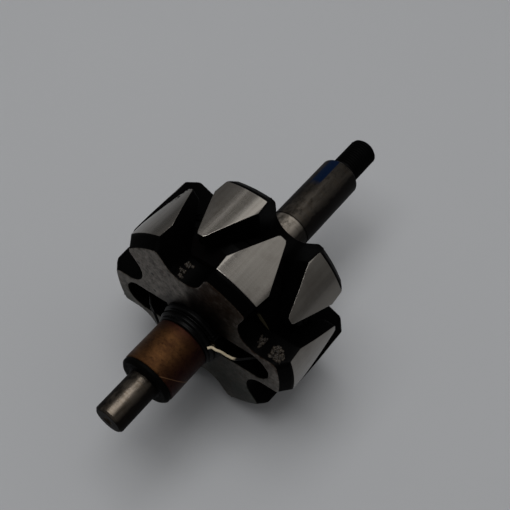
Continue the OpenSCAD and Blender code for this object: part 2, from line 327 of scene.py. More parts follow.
def round_shaft(t: bpy.types.NodeTree, along: Socket, radius: Socket, angle: Socket) -> Socket:
    """Adds the nodes that turn a place round the shaft into a position.

    Args:
        t: a geometry tree.
        along: distance along the shaft, in mm.
        radius: distance from the shaft line, in mm.
        angle: angle from the top, in radians.

    Returns:
        The position in metres.
    """
    sine = add(t, "ShaderNodeMath", {0: angle}, operation="SINE").outputs[0]
    cosine = add(t, "ShaderNodeMath", {0: angle}, operation="COSINE").outputs[0]
    y = add(t, "ShaderNodeMath", {0: radius, 1: sine}, operation="MULTIPLY").outputs[0]
    z = add(t, "ShaderNodeMath", {0: radius, 1: cosine}, operation="MULTIPLY").outputs[0]
    spot = add(t, "ShaderNodeCombineXYZ", {0: along, 1: y, 2: z}).outputs[0]
    return add(t, "ShaderNodeVectorMath", {0: spot, 1: (MM, MM, MM)}, operation="MULTIPLY").outputs[0]


def close_tree(t: bpy.types.NodeTree, shape: Socket) -> None:
    """Ends a geometry tree in real, smooth mesh with a material slot.

    Args:
        t: the geometry tree.
        shape: the geometry to hand out.
    """
    real = add(t, "GeometryNodeRealizeInstances", {"Geometry": shape}).outputs[0]
    smooth = add(t, "GeometryNodeSetShadeSmooth", {"Geometry": real}).outputs[0]
    done = add(t, "GeometryNodeSetMaterial", {"Geometry": smooth}).outputs[0]
    add(t, "NodeGroupOutput", {0: done})


def baked(name: str, tree: bpy.types.NodeTree, sizes: dict[str, float | int],
          start: bpy.types.Mesh | None = None) -> bpy.types.Mesh:
    """Runs a geometry tree on a mesh and keeps the result as a plain mesh.

    Args:
        name: name for the mesh.
        tree: the geometry tree.
        sizes: the tree's named inputs.
        start: mesh that the tree starts from; empty when left out.

    Returns:
        The evaluated mesh.
    """
    carrier = bpy.data.objects.new(name, start or bpy.data.meshes.new(name))
    bpy.context.scene.collection.objects.link(carrier)
    modifier = carrier.modifiers.new("shape", "NODES")
    modifier.node_group = tree
    for item in tree.interface.items_tree:
        if item.item_type == "SOCKET" and item.in_out == "INPUT" and item.name in sizes:
            modifier[item.identifier] = sizes[item.name]
    bpy.context.view_layer.update()
    evaluated = carrier.evaluated_get(bpy.context.evaluated_depsgraph_get())
    mesh = bpy.data.meshes.new_from_object(evaluated)
    carrier.modifiers.remove(modifier)
    bpy.data.objects.remove(carrier)
    return mesh


def joined(name: str, *parts: bpy.types.Mesh) -> bpy.types.Mesh:
    """Joins meshes into one.

    Args:
        name: name of the new mesh.
        parts: meshes in the same frame.

    Returns:
        The joined mesh.
    """
    bm = bmesh.new()
    for part in parts:
        bm.from_mesh(part)
    mesh = bpy.data.meshes.new(name)
    bm.to_mesh(mesh)
    bm.free()
    return mesh


@dataclass(frozen=True)
class ClawSteel:
    """Forged low-carbon steel: ground outside, worn and stained on the face, varnish-black elsewhere."""

    ground: str = "#827e78"
    ground_dark: str = "#7a7670"
    dull: str = "#5c5650"
    face: str = "#332e28"
    face_pale: str = "#77716a"
    patina_and_shade: str = "#2b2e28"
    oil_and_shade: str = "#0d0805"
    rust: str = "#3a2616"
    brown: str = "#33261b"
    varnish: str = "#010101"
    varnish_pale: str = "#020202"
    ground_r: float = 40.96
    ground_x: float = 15.75
    face_x: float = 20.04
    hub_r: float = 13.0
    stain_turn: float = -34.0
    chipped_claw: float = 38.8
    specular: float = 0.012
    pit_x: float = -20.2
    pits: tuple[tuple[float, float], ...] = ((18.4, 7.6), (25.1, 19.3), (18.8, 18.2))

    def ground_tone(self, t: bpy.types.NodeTree, at: Place, lines: Socket, cloud: Socket) -> Socket:
        """Colours the ground claw faces.

        Args:
            t: the material's tree.
            at: the place of the shaded point.
            lines: noise that runs round the claws.
            cloud: slow noise.

        Returns:
            The colour.
        """
        # Long pale and dark streaks parallel to the shaft, 1 to 3 mm wide, at random round the claws.
        flat = add(t, "ShaderNodeMapping", {0: at.mm, 3: (0.02, 0.0, 0.0)}).outputs[0]
        run = add(t, "ShaderNodeMath", {0: at.turn, 1: 0.42}, operation="MULTIPLY").outputs[0]
        run = add(t, "ShaderNodeCombineXYZ", {1: run}).outputs[0]
        run = add(t, "ShaderNodeVectorMath", {0: flat, 1: run}).outputs[0]
        streak = add(t, "ShaderNodeTexNoise", {"Vector": run, "Scale": 1.0, "Detail": 3.0, "Roughness": 0.6}).outputs[0]
        streak = add(t, "ShaderNodeMapRange", {0: streak, 1: 0.42, 2: 0.66, 3: 0.0, 4: 0.28}).outputs[0]
        patchy = add(t, "ShaderNodeMapRange", {0: cloud, 1: 0.50, 2: 0.72, 3: 0.0, 4: 0.45}).outputs[0]
        return layered(t, self.ground_dark, (lines, self.ground), (streak, self.dull), (patchy, self.dull))

    def face_tone(self, t: bpy.types.NodeTree, at: Place, fine: Socket, cloud: Socket) -> Socket:
        """Colours the flat pole face: worn grey, patina and painted shade low down, oil stain and painted shade round
        the hub, rust specks and pits.

        Args:
            t: the material's tree.
            at: the place of the shaded point.
            fine: fine noise.
            cloud: slow noise.

        Returns:
            The colour.
        """
        mottle = add(t, "ShaderNodeTexNoise",
                     {"Vector": at.mm, "Scale": 0.3, "Detail": 7.0, "Roughness": 0.72}).outputs[0]
        scuff = add(t, "ShaderNodeMapRange", {0: mottle, 1: 0.36, 2: 0.64}).outputs[0]
        # Greenish patina and painted shade: the face darkens toward the bottom.
        low = add(t, "ShaderNodeMapRange", {0: at.z, 1: 8.0, 2: -18.0}).outputs[0]
        uneven = add(t, "ShaderNodeMapRange", {0: cloud, 1: 0.3, 2: 0.6, 3: 0.55, 4: 1.0}).outputs[0]
        low = add(t, "ShaderNodeMath", {0: low, 1: uneven}, operation="MULTIPLY").outputs[0]
        # Oil stain: a sector about the top claw, fading toward the rim; the dark ring round the hub is partly oil,
        # partly painted shade and reflection of the hub.
        off = add(t, "ShaderNodeMath",
                  {0: cloud, 1: 16.0, 2: at.off(t, self.stain_turn)}, operation="MULTIPLY_ADD").outputs[0]
        sector = add(t, "ShaderNodeMapRange", {0: off, 1: 52.0, 2: 44.0}).outputs[0]
        browned = add(t, "ShaderNodeMapRange", {0: mottle, 1: 0.62, 2: 0.42, 3: 0.35, 4: 1.0}).outputs[0]
        browned = add(t, "ShaderNodeMath", {0: sector, 1: browned}, operation="MULTIPLY").outputs[0]
        outer = add(t, "ShaderNodeMath", {0: mottle, 1: 16.0, 2: at.r}, operation="MULTIPLY_ADD").outputs[0]
        outer = add(t, "ShaderNodeMapRange", {0: outer, 1: 40.0, 2: 27.0, 3: 0.15, 4: 0.95}).outputs[0]
        oily_and_shaded = add(t, "ShaderNodeMath", {0: sector, 1: outer}, operation="MULTIPLY").outputs[0]
        ring = add(t, "ShaderNodeMapRange", {0: at.r, 1: self.hub_r + 6.0, 2: self.hub_r, 3: 0.0, 4: 0.85}).outputs[0]
        oily_and_shaded = add(t, "ShaderNodeMath", {0: oily_and_shaded, 1: ring}, operation="MAXIMUM").outputs[0]
        specks = add(t, "ShaderNodeTexNoise",
                     {"Vector": at.mm, "Scale": 0.42, "Detail": 7.0, "Roughness": 0.75}).outputs[0]
        specks = add(t, "ShaderNodeMapRange", {0: specks, 1: 0.56, 2: 0.66, 3: 0.0, 4: 0.7}).outputs[0]
        layers = [(scuff, self.face_pale), (low, self.patina_and_shade), (browned, self.brown), (oily_and_shaded, self.oil_and_shade),
                  (specks, self.rust)]
        for y, z in self.pits:
            reach = add(t, "ShaderNodeVectorMath",
                        {0: at.mm, 1: (self.pit_x, y, z)}, operation="DISTANCE").outputs["Value"]
            reach = add(t, "ShaderNodeMath", {0: fine, 1: 0.9, 2: reach}, operation="MULTIPLY_ADD").outputs[0]
            pit = add(t, "ShaderNodeMapRange", {0: reach, 1: 1.3, 2: 1.0, 3: 0.0, 4: 0.85}).outputs[0]
            layers.append((pit, self.oil_and_shade))
        return layered(t, self.face, *layers)

    def chips(self, t: bpy.types.NodeTree, at: Place, ragged: Socket) -> Socket:
        """Finds the chipped edge of one claw.

        Args:
            t: the material's tree.
            at: the place of the shaded point.
            ragged: noise that frays the chips.

        Returns:
            A mask, 1 in a chip.
        """
        edge = add(t, "ShaderNodeMath", {0: at.x, 1: 0.6, 2: at.turn}, operation="MULTIPLY_ADD").outputs[0]
        edge = add(t, "ShaderNodeMath", {0: edge, 1: self.chipped_claw + 7.5}, operation="SUBTRACT").outputs[0]
        beyond = add(t, "ShaderNodeMath", {0: edge, 1: 1.5}, operation="LESS_THAN").outputs[0]
        frayed = add(t, "ShaderNodeMath", {0: ragged, 1: 22.0, 2: edge}, operation="MULTIPLY_ADD").outputs[0]
        chip = add(t, "ShaderNodeMapRange", {0: frayed, 1: 9.9, 2: 10.3}).outputs[0]
        tipward = add(t, "ShaderNodeMath", {0: at.x, 1: 0.0}, operation="GREATER_THAN").outputs[0]
        chip = add(t, "ShaderNodeMath", {0: chip, 1: beyond}, operation="MULTIPLY").outputs[0]
        return add(t, "ShaderNodeMath", {0: chip, 1: tipward}, operation="MULTIPLY").outputs[0]

    def build(self) -> bpy.types.Material:
        """Builds the claw steel with masks for its ground, facing and varnished surfaces.

        Returns:
            The material.
        """
        material, t, shader = blank_material("forged_claw_steel")
        at = Place.on(t)
        # Ragged rim where the grinding wheel broke through the varnish, a few tenths of a mm wide.
        ragged = add(t, "ShaderNodeTexNoise",
                     {"Vector": at.mm, "Scale": 0.9, "Detail": 4.0, "Roughness": 0.6}).outputs[0]
        rim = add(t, "ShaderNodeMath", {0: ragged, 1: 0.06, 2: at.r}, operation="MULTIPLY_ADD").outputs[0]
        ground = add(t, "ShaderNodeMapRange", {0: rim, 1: self.ground_r, 2: self.ground_r + 0.02}).outputs[0]
        whole = add(t, "ShaderNodeMath", {0: 1.0, 1: self.chips(t, at, ragged)}, operation="SUBTRACT").outputs[0]
        ground = add(t, "ShaderNodeMath", {0: ground, 1: whole}, operation="MULTIPLY").outputs[0]
        depth = add(t, "ShaderNodeMath", {0: at.x}, operation="ABSOLUTE").outputs[0]
        short = add(t, "ShaderNodeMapRange", {0: depth, 1: self.ground_x + 0.1, 2: self.ground_x}).outputs[0]
        ground = add(t, "ShaderNodeMath", {0: ground, 1: short}, operation="MULTIPLY").outputs[0]
        edge = add(t, "ShaderNodeMath", {0: ragged, 1: 0.12, 2: depth}, operation="MULTIPLY_ADD").outputs[0]
        facing = add(t, "ShaderNodeMapRange", {0: edge, 1: self.face_x, 2: self.face_x + 0.08}).outputs[0]
        # Grinding lines run round the claws: 0.5 mm apart is drawn, because the real 0.05 mm ones are too fine to show.
        arc = add(t, "ShaderNodeMath", {0: at.turn, 1: 0.043}, operation="MULTIPLY").outputs[0]
        round_x = add(t, "ShaderNodeMath", {0: at.x, 1: 2.0}, operation="MULTIPLY").outputs[0]
        lines = add(t, "ShaderNodeCombineXYZ", {0: round_x, 1: arc}).outputs[0]
        lines = add(t, "ShaderNodeTexNoise", {"Vector": lines, "Scale": 1.0, "Detail": 3.0}).outputs[0]
        cloud = add(t, "ShaderNodeTexNoise",
                    {"Vector": at.mm, "Scale": 0.11, "Detail": 5.0, "Roughness": 0.62}).outputs[0]
        fine = add(t, "ShaderNodeTexNoise", {"Vector": at.mm, "Scale": 0.8, "Detail": 6.0, "Roughness": 0.7}).outputs[0]
        dark = layered(t, self.varnish, (fine, self.varnish_pale))
        skin = self.face_tone(t, at, fine, cloud)
        colour = add(t, "ShaderNodeMix", {0: facing, 6: dark, 7: skin}, data_type="RGBA").outputs[2]
        shade = self.ground_tone(t, at, lines, cloud)
        colour = add(t, "ShaderNodeMix", {0: ground, 6: colour, 7: shade}, data_type="RGBA").outputs[2]
        t.links.new(colour, shader.inputs["Base Color"])
        bare = add(t, "ShaderNodeMath", {0: ground, 1: facing}, operation="MAXIMUM").outputs[0]
        t.links.new(bare, shader.inputs["Metallic"])
        rough = add(t, "ShaderNodeMapRange", {0: lines, 3: 0.13, 4: 0.22}).outputs[0]
        skin_rough = add(t, "ShaderNodeMapRange", {0: fine, 3: 0.30, 4: 0.60}).outputs[0]
        rough = add(t, "ShaderNodeMix", {0: ground, 2: skin_rough, 3: rough}).outputs[0]
        t.links.new(rough, shader.inputs["Roughness"])
        shader.inputs["Specular IOR Level"].default_value = self.specular
        relief = add(t, "ShaderNodeMix", {0: ground, 2: fine, 3: lines}).outputs[0]
        bump = add(t, "ShaderNodeBump", {"Strength": 0.08, "Distance": 0.00004, "Height": relief})
        t.links.new(bump.outputs[0], shader.inputs["Normal"])
        return material


@dataclass(frozen=True)
class ShaftSteel:
    """Ground and polished carbon steel, tarnished, with a black oxide thread, a dab of blue marking paint and painted
    shade along both sides.
    """

    stub: str = "#4b453e"
    bright: str = "#857e75"
    drive: str = "#3d3934"
    dull: str = "#110e0a"
    tan: str = "#3a3024"
    dark_tone: str = "#040303"
    oxide: str = "#020202"
    paint: str = "#010d22"
    seat_x: float = 37.5
    end_x: float = -65.2
    journal_r: float = 6.0
    seen_middle_turn: float = -21.0
    thread_x: float = 73.2
    mark_x: tuple[float, float] = (56.0, 72.6)
    mark_turn: float = 21.0
    mark_half: float = 15.0
    specular: float = 0.03

    def build(self) -> bpy.types.Material:
        """Builds the shaft steel with its bands along the shaft line.

        Returns:
            The material.
        """
        material, t, shader = blank_material("ground_shaft_steel")
        at = Place.on(t)
        # Polishing marks run round the shaft: 0.6 mm apart is drawn, the real ones are too fine to show.
        marks = add(t, "ShaderNodeMapping", {0: at.mm, 3: (1.7, 0.10, 0.10)}).outputs[0]
        marks = add(t, "ShaderNodeTexNoise",
                    {"Vector": marks, "Scale": 1.0, "Detail": 4.0, "Roughness": 0.6}).outputs[0]
        # Soft patches of tarnish, about 3 mm wide and longer along the shaft.
        streaks = add(t, "ShaderNodeMapping", {0: at.mm, 3: (0.12, 0.32, 0.32)}).outputs[0]
        streaks = add(t, "ShaderNodeTexNoise",
                      {"Vector": streaks, "Scale": 1.0, "Detail": 5.0, "Roughness": 0.65}).outputs[0]
        # The stub and the bearing seat are bright, the pulley seat beyond the groove is dull.
        seat = add(t, "ShaderNodeMapRange", {0: at.x, 1: self.seat_x - 0.2, 2: self.seat_x + 0.2}).outputs[0]
        stub = add(t, "ShaderNodeMath", {0: at.x, 1: 0.0}, operation="LESS_THAN").outputs[0]
        worn = add(t, "ShaderNodeMapRange", {0: streaks, 1: 0.42, 2: 0.68, 3: 0.0, 4: 0.7}).outputs[0]
        tint = add(t, "ShaderNodeMapRange", {0: marks, 1: 0.52, 2: 0.72, 3: 0.0, 4: 0.55}).outputs[0]
        # Painted shade: the colour darkens toward both sides of the shaft, the right side below about -25 degrees and
        # the left side above the top.
        jittered_turn = add(t, "ShaderNodeMath", {0: streaks, 1: 40.0, 2: at.turn}, operation="MULTIPLY_ADD").outputs[0]
        jittered_turn = add(t, "ShaderNodeMath", {0: jittered_turn, 1: 20.0}, operation="SUBTRACT").outputs[0]
        side_shade_and_ends = add(t, "ShaderNodeMapRange", {0: jittered_turn, 1: -25.0, 2: -48.0, 3: 0.0, 4: 0.96}).outputs[0]
        left_side_shade = add(t, "ShaderNodeMapRange", {0: jittered_turn, 1: 0.0, 2: 36.0, 3: 0.0, 4: 0.88}).outputs[0]
        side_shade_and_ends = add(t, "ShaderNodeMath", {0: side_shade_and_ends, 1: left_side_shade}, operation="MAXIMUM").outputs[0]
        # Both bands of painted shade fade out on the far side of the shaft, 92 to 125 degrees from its seen middle.
        fade = add(t, "ShaderNodeMapRange", {0: at.off(t, self.seen_middle_turn), 1: 125.0, 2: 92.0}).outputs[0]
        side_shade_and_ends = add(t, "ShaderNodeMath", {0: side_shade_and_ends, 1: fade}, operation="MULTIPLY").outputs[0]
        ended = add(t, "ShaderNodeMapRange", {0: at.x, 1: self.end_x + 0.5, 2: self.end_x, 3: 0.0, 4: 0.9}).outputs[0]
        side_shade_and_ends = add(t, "ShaderNodeMath", {0: side_shade_and_ends, 1: ended}, operation="MAXIMUM").outputs[0]
        step = add(t, "ShaderNodeMath", {0: at.r, 1: self.journal_r + 0.05}, operation="GREATER_THAN").outputs[0]
        step = add(t, "ShaderNodeMath", {0: step, 1: stub}, operation="MULTIPLY").outputs[0]
        side_shade_and_ends = add(t, "ShaderNodeMath", {0: side_shade_and_ends, 1: step}, operation="MAXIMUM").outputs[0]
        # Black blotches of old grease, 2 to 4 mm across, thickest on the pulley seat.
        blotch = add(t, "ShaderNodeTexNoise",
                     {"Vector": at.mm, "Scale": 0.33, "Detail": 6.0, "Roughness": 0.7}).outputs[0]
        # The blotches grow denser toward the left side, which adds painted shade there.
        lean = add(t, "ShaderNodeMath", {0: at.turn, 1: fade}, operation="MULTIPLY").outputs[0]
        blotch = add(t, "ShaderNodeMath", {0: lean, 1: 0.0025, 2: blotch}, operation="MULTIPLY_ADD").outputs[0]
        blotch = add(t, "ShaderNodeMapRange", {0: blotch, 1: 0.52, 2: 0.66, 3: 0.0, 4: 0.75}).outputs[0]
        # Blue marking paint in a stripe along the end of the drive seat.
        off = add(t, "ShaderNodeMath",
                  {0: streaks, 1: 6.0, 2: at.off(t, self.mark_turn)}, operation="MULTIPLY_ADD").outputs[0]
        mark = add(t, "ShaderNodeMapRange", {0: off, 1: self.mark_half + 4.0, 2: self.mark_half + 2.0}).outputs[0]
        start = add(t, "ShaderNodeMapRange", {0: at.x, 1: self.mark_x[0], 2: self.mark_x[0] + 3}).outputs[0]
        stop = add(t, "ShaderNodeMapRange", {0: at.x, 1: self.mark_x[1], 2: self.mark_x[1] - 0.6}).outputs[0]
        mark = add(t, "ShaderNodeMath", {0: mark, 1: start}, operation="MULTIPLY").outputs[0]
        mark = add(t, "ShaderNodeMath", {0: mark, 1: stop}, operation="MULTIPLY").outputs[0]
        oxide = add(t, "ShaderNodeMapRange", {0: at.x, 1: self.thread_x, 2: self.thread_x + 0.3}).outputs[0]
        colour = layered(
            t, self.bright, (seat, self.drive), (stub, self.stub), (worn, self.dull), (tint, self.tan),
            (side_shade_and_ends, self.dark_tone), (blotch, self.dark_tone), (mark, self.paint), (oxide, self.oxide),
        )
        t.links.new(colour, shader.inputs["Base Color"])
        coated = add(t, "ShaderNodeMath", {0: mark, 1: oxide}, operation="MAXIMUM").outputs[0]
        coated = add(t, "ShaderNodeMath", {0: coated, 1: side_shade_and_ends}, operation="MAXIMUM").outputs[0]
        metal = add(t, "ShaderNodeMath", {0: 1.0, 1: coated}, operation="SUBTRACT").outputs[0]
        t.links.new(metal, shader.inputs["Metallic"])
        rough = add(t, "ShaderNodeMapRange", {0: marks, 3: 0.22, 4: 0.42}).outputs[0]
        rough = add(t, "ShaderNodeMix", {0: coated, 2: rough, 3: 0.55}).outputs[0]
        t.links.new(rough, shader.inputs["Roughness"])
        shader.inputs["Specular IOR Level"].default_value = self.specular
        bump = add(t, "ShaderNodeBump", {"Strength": 0.3, "Distance": 0.00005, "Height": marks})
        t.links.new(bump.outputs[0], shader.inputs["Normal"])
        return material


@dataclass(frozen=True)
class RingCopper:
    """Hard-drawn copper with a matt brown tarnish, brush-worn bands, red-purple painted shade on its right side and a
    red-purple band next to the hub.
    """

    brown: str = "#342113"
    warm: str = "#4b321c"
    worn: str = "#2c1a0f"
    purple: str = "#220d0f"
    dark_tone: str = "#0c0704"
    pale_line: str = "#75573e"
    edge_near: float = -26.7
    edge_far: float = -45.2

    def build(self) -> bpy.types.Material:
        """Builds the tarnished copper.

        Returns:
            The material.
        """
        material, t, shader = blank_material("tarnished_copper")
        at = Place.on(t)
        cloud = add(t, "ShaderNodeTexNoise",
                    {"Vector": at.mm, "Scale": 0.22, "Detail": 6.0, "Roughness": 0.65}).outputs[0]
        # Bands worn by the brushes run round the ring, about 1 mm wide.
        bands = add(t, "ShaderNodeMapping", {0: at.mm, 3: (1.1, 0.05, 0.05)}).outputs[0]
        bands = add(t, "ShaderNodeTexNoise", {"Vector": bands, "Scale": 1.0, "Detail": 4.0}).outputs[0]
        warm = add(t, "ShaderNodeMapRange", {0: cloud, 1: 0.38, 2: 0.66}).outputs[0]
        worn = add(t, "ShaderNodeMapRange", {0: bands, 1: 0.45, 2: 0.65, 3: 0.0, 4: 0.3}).outputs[0]
        # Painted shade: red-purple on the ring's right side, from about -25 to -175 degrees; the same tone covers the 5
        # mm next to the hub.
        near = add(t, "ShaderNodeMapRange", {0: at.x, 1: self.edge_near - 5.0, 2: self.edge_near}).outputs[0]
        side = add(t, "ShaderNodeMapRange", {0: at.turn, 1: -25.0, 2: -60.0}).outputs[0]
        under = add(t, "ShaderNodeMapRange", {0: at.turn, 1: -175.0, 2: -125.0}).outputs[0]
        side = add(t, "ShaderNodeMath", {0: side, 1: under}, operation="MULTIPLY").outputs[0]
        rims = add(t, "ShaderNodeMath", {0: near, 1: side}, operation="MAXIMUM").outputs[0]
        uneven = add(t, "ShaderNodeMapRange", {0: cloud, 1: 0.3, 2: 0.6, 3: 0.45, 4: 1.0}).outputs[0]
        rims = add(t, "ShaderNodeMath", {0: rims, 1: uneven}, operation="MULTIPLY").outputs[0]
        dirt = add(t, "ShaderNodeTexNoise", {"Vector": at.mm, "Scale": 0.9, "Detail": 6.0, "Roughness": 0.7}).outputs[0]
        dirt = add(t, "ShaderNodeMapRange", {0: dirt, 1: 0.52, 2: 0.70, 3: 0.0, 4: 0.65}).outputs[0]
        # One pale line runs slantwise from the collar down the side.
        slant = add(t, "ShaderNodeMath", {0: at.turn, 1: 0.12, 2: at.x}, operation="MULTIPLY_ADD").outputs[0]
        slant = add(t, "ShaderNodeMath", {0: slant, 1: self.edge_far - 3.9}, operation="SUBTRACT").outputs[0]
        slant = add(t, "ShaderNodeMath", {0: slant}, operation="ABSOLUTE").outputs[0]
        line = add(t, "ShaderNodeMapRange", {0: slant, 1: 0.20, 2: 0.08, 3: 0.0, 4: 0.7}).outputs[0]
        reach = add(t, "ShaderNodeMapRange", {0: at.turn, 1: -28.0, 2: -34.0}).outputs[0]
        line = add(t, "ShaderNodeMath", {0: line, 1: reach}, operation="MULTIPLY").outputs[0]
        colour = layered(t, self.brown, (warm, self.warm), (worn, self.worn), (rims, self.purple),
                         (dirt, self.dark_tone), (line, self.pale_line))
        t.links.new(colour, shader.inputs["Base Color"])
        shader.inputs["Metallic"].default_value = 1.0
        rough = add(t, "ShaderNodeMapRange", {0: bands, 3: 0.50, 4: 0.68}).outputs[0]
        t.links.new(rough, shader.inputs["Roughness"])
        bump = add(t, "ShaderNodeBump", {"Strength": 0.2, "Distance": 0.00005, "Height": bands})
        t.links.new(bump.outputs[0], shader.inputs["Normal"])
        return material


@dataclass(frozen=True)
class Insulation:
    """Insulating or dull material with a cloudy tone; a clean sector or a clean inner part may keep another colour."""

    name: str
    base: str
    second: str
    grain_mm: float
    rough: tuple[float, float]
    relief_mm: float = 0.03
    specular: float = 0.4
    metallic: float = 0.0
    clean: str = ""
    clean_turn: tuple[float, float] = (0.0, 0.0)
    clean_r: float = 0.0

    def build(self) -> bpy.types.Material:
        """Builds the material with grain of its own size.

        Returns:
            The material.
        """
        material, t, shader = blank_material(self.name)
        at = Place.on(t)
        grain = add(t, "ShaderNodeTexNoise",
                    {"Vector": at.mm, "Scale": 1 / self.grain_mm, "Detail": 5.0, "Roughness": 0.6}).outputs[0]
        blend = add(t, "ShaderNodeMapRange", {0: grain, 1: 0.35, 2: 0.68}).outputs[0]
        layers = [(blend, self.second)]
        if self.clean and self.clean_r:
            reach = add(t, "ShaderNodeMath", {0: grain, 1: 1.2, 2: at.r}, operation="MULTIPLY_ADD").outputs[0]
            bare = add(t, "ShaderNodeMapRange", {0: reach, 1: self.clean_r + 0.9, 2: self.clean_r + 0.3}).outputs[0]
            layers.append((bare, self.clean))
        elif self.clean:
            middle, half = sum(self.clean_turn) / 2, abs(self.clean_turn[1] - self.clean_turn[0]) / 2
            off = add(t, "ShaderNodeMath",
                      {0: grain, 1: 6.0, 2: at.off(t, middle)}, operation="MULTIPLY_ADD").outputs[0]
            bare = add(t, "ShaderNodeMapRange", {0: off, 1: half + 3.6, 2: half + 1.8, 3: 0.0, 4: 0.9}).outputs[0]
            layers.append((bare, self.clean))
        t.links.new(layered(t, self.base, *layers), shader.inputs["Base Color"])
        rough = add(t, "ShaderNodeMapRange", {0: grain, 1: 0.3, 2: 0.7, 3: self.rough[0], 4: self.rough[1]}).outputs[0]
        t.links.new(rough, shader.inputs["Roughness"])
        shader.inputs["Metallic"].default_value = self.metallic
        shader.inputs["Specular IOR Level"].default_value = self.specular
        bump = add(t, "ShaderNodeBump", {"Strength": 0.5, "Distance": self.relief_mm * MM, "Height": grain})
        t.links.new(bump.outputs[0], shader.inputs["Normal"])
        return material


# Phenolic moulding: glossy black with a faint cloud in its skin.
HUB_PHENOLIC = Insulation("black_phenolic", "#010101", "#030303", 2.2, (0.26, 0.40), 0.006, 0.05)
# Fibre collar: the same black, rubbed dull by handling.
COLLAR_FIBRE = Insulation("black_fibre_collar", "#010101", "#030302", 0.9, (0.5, 0.7), 0.02, 0.02)
# Pressed fibre board: varnish-brown, left beige where the varnish missed it in one notch.
BOBBIN_FIBRE = Insulation("beige_fibre_board", "#020201", "#070503", 1.3, (0.4, 0.6), 0.03, 0.1,
                          clean="#4b4535", clean_turn=(-46.0, -62.0))
# Cotton tape soaked with varnish: brown-black with a cloth grain.
VARNISHED_TAPE = Insulation("varnished_cotton_tape", "#010101", "#020202", 0.7, (0.5, 0.7), 0.06, 0.03)
# Impregnating varnish: black-brown, lumpy, dull with age.
VARNISH_RESIN = Insulation("amber_varnish_resin", "#010101", "#030202", 0.9, (0.6, 0.8), 0.08, 0.015)
# Drips of the same varnish: black with pale patches at random, partly dust and partly painted glints.
VARNISH_DRIPS = Insulation("varnish_drips_dust_and_painted_glints", "#040303", "#37312a", 0.9, (0.25, 0.55), 0.25, 0.15)
# Enamelled copper wire under varnish.
VARNISHED_COPPER = Insulation("varnished_copper_wire", "#1c0d06", "#361a0c", 0.8, (0.3, 0.5), 0.1, 0.4)
# Soft iron core, hidden under the bobbin.
SOFT_IRON = Insulation("soft_iron_core", "#3d3c3a", "#2b2a29", 1.5, (0.5, 0.7), 0.03, 0.5, 1.0)
# Tinned brass tag under varnish.
TAG_BRASS = Insulation("tinned_brass_tag", "#2a2218", "#0e0b08", 0.6, (0.35, 0.55), 0.03, 0.5, 1.0)
# Lead A: cream enamel from the hub to the slot, black varnish beyond.
LEAD_A_COVER = Insulation("cream_lead_enamel", "#020202", "#050505", 1.1, (0.25, 0.40), 0.02, 0.10,
                          clean="#b5a88f", clean_r=19.9)
# Lead B: varnished all over except for its first few mm.
LEAD_B_COVER = Insulation("varnished_lead_enamel", "#020202", "#050505", 1.1, (0.25, 0.40), 0.02, 0.10,
                          clean="#6a6052", clean_r=14.0)
# Black rubber sleeve.
SLEEVE_RUBBER = Insulation("black_rubber_sleeve", "#030303", "#080808", 0.6, (0.3, 0.5), 0.03, 0.3)


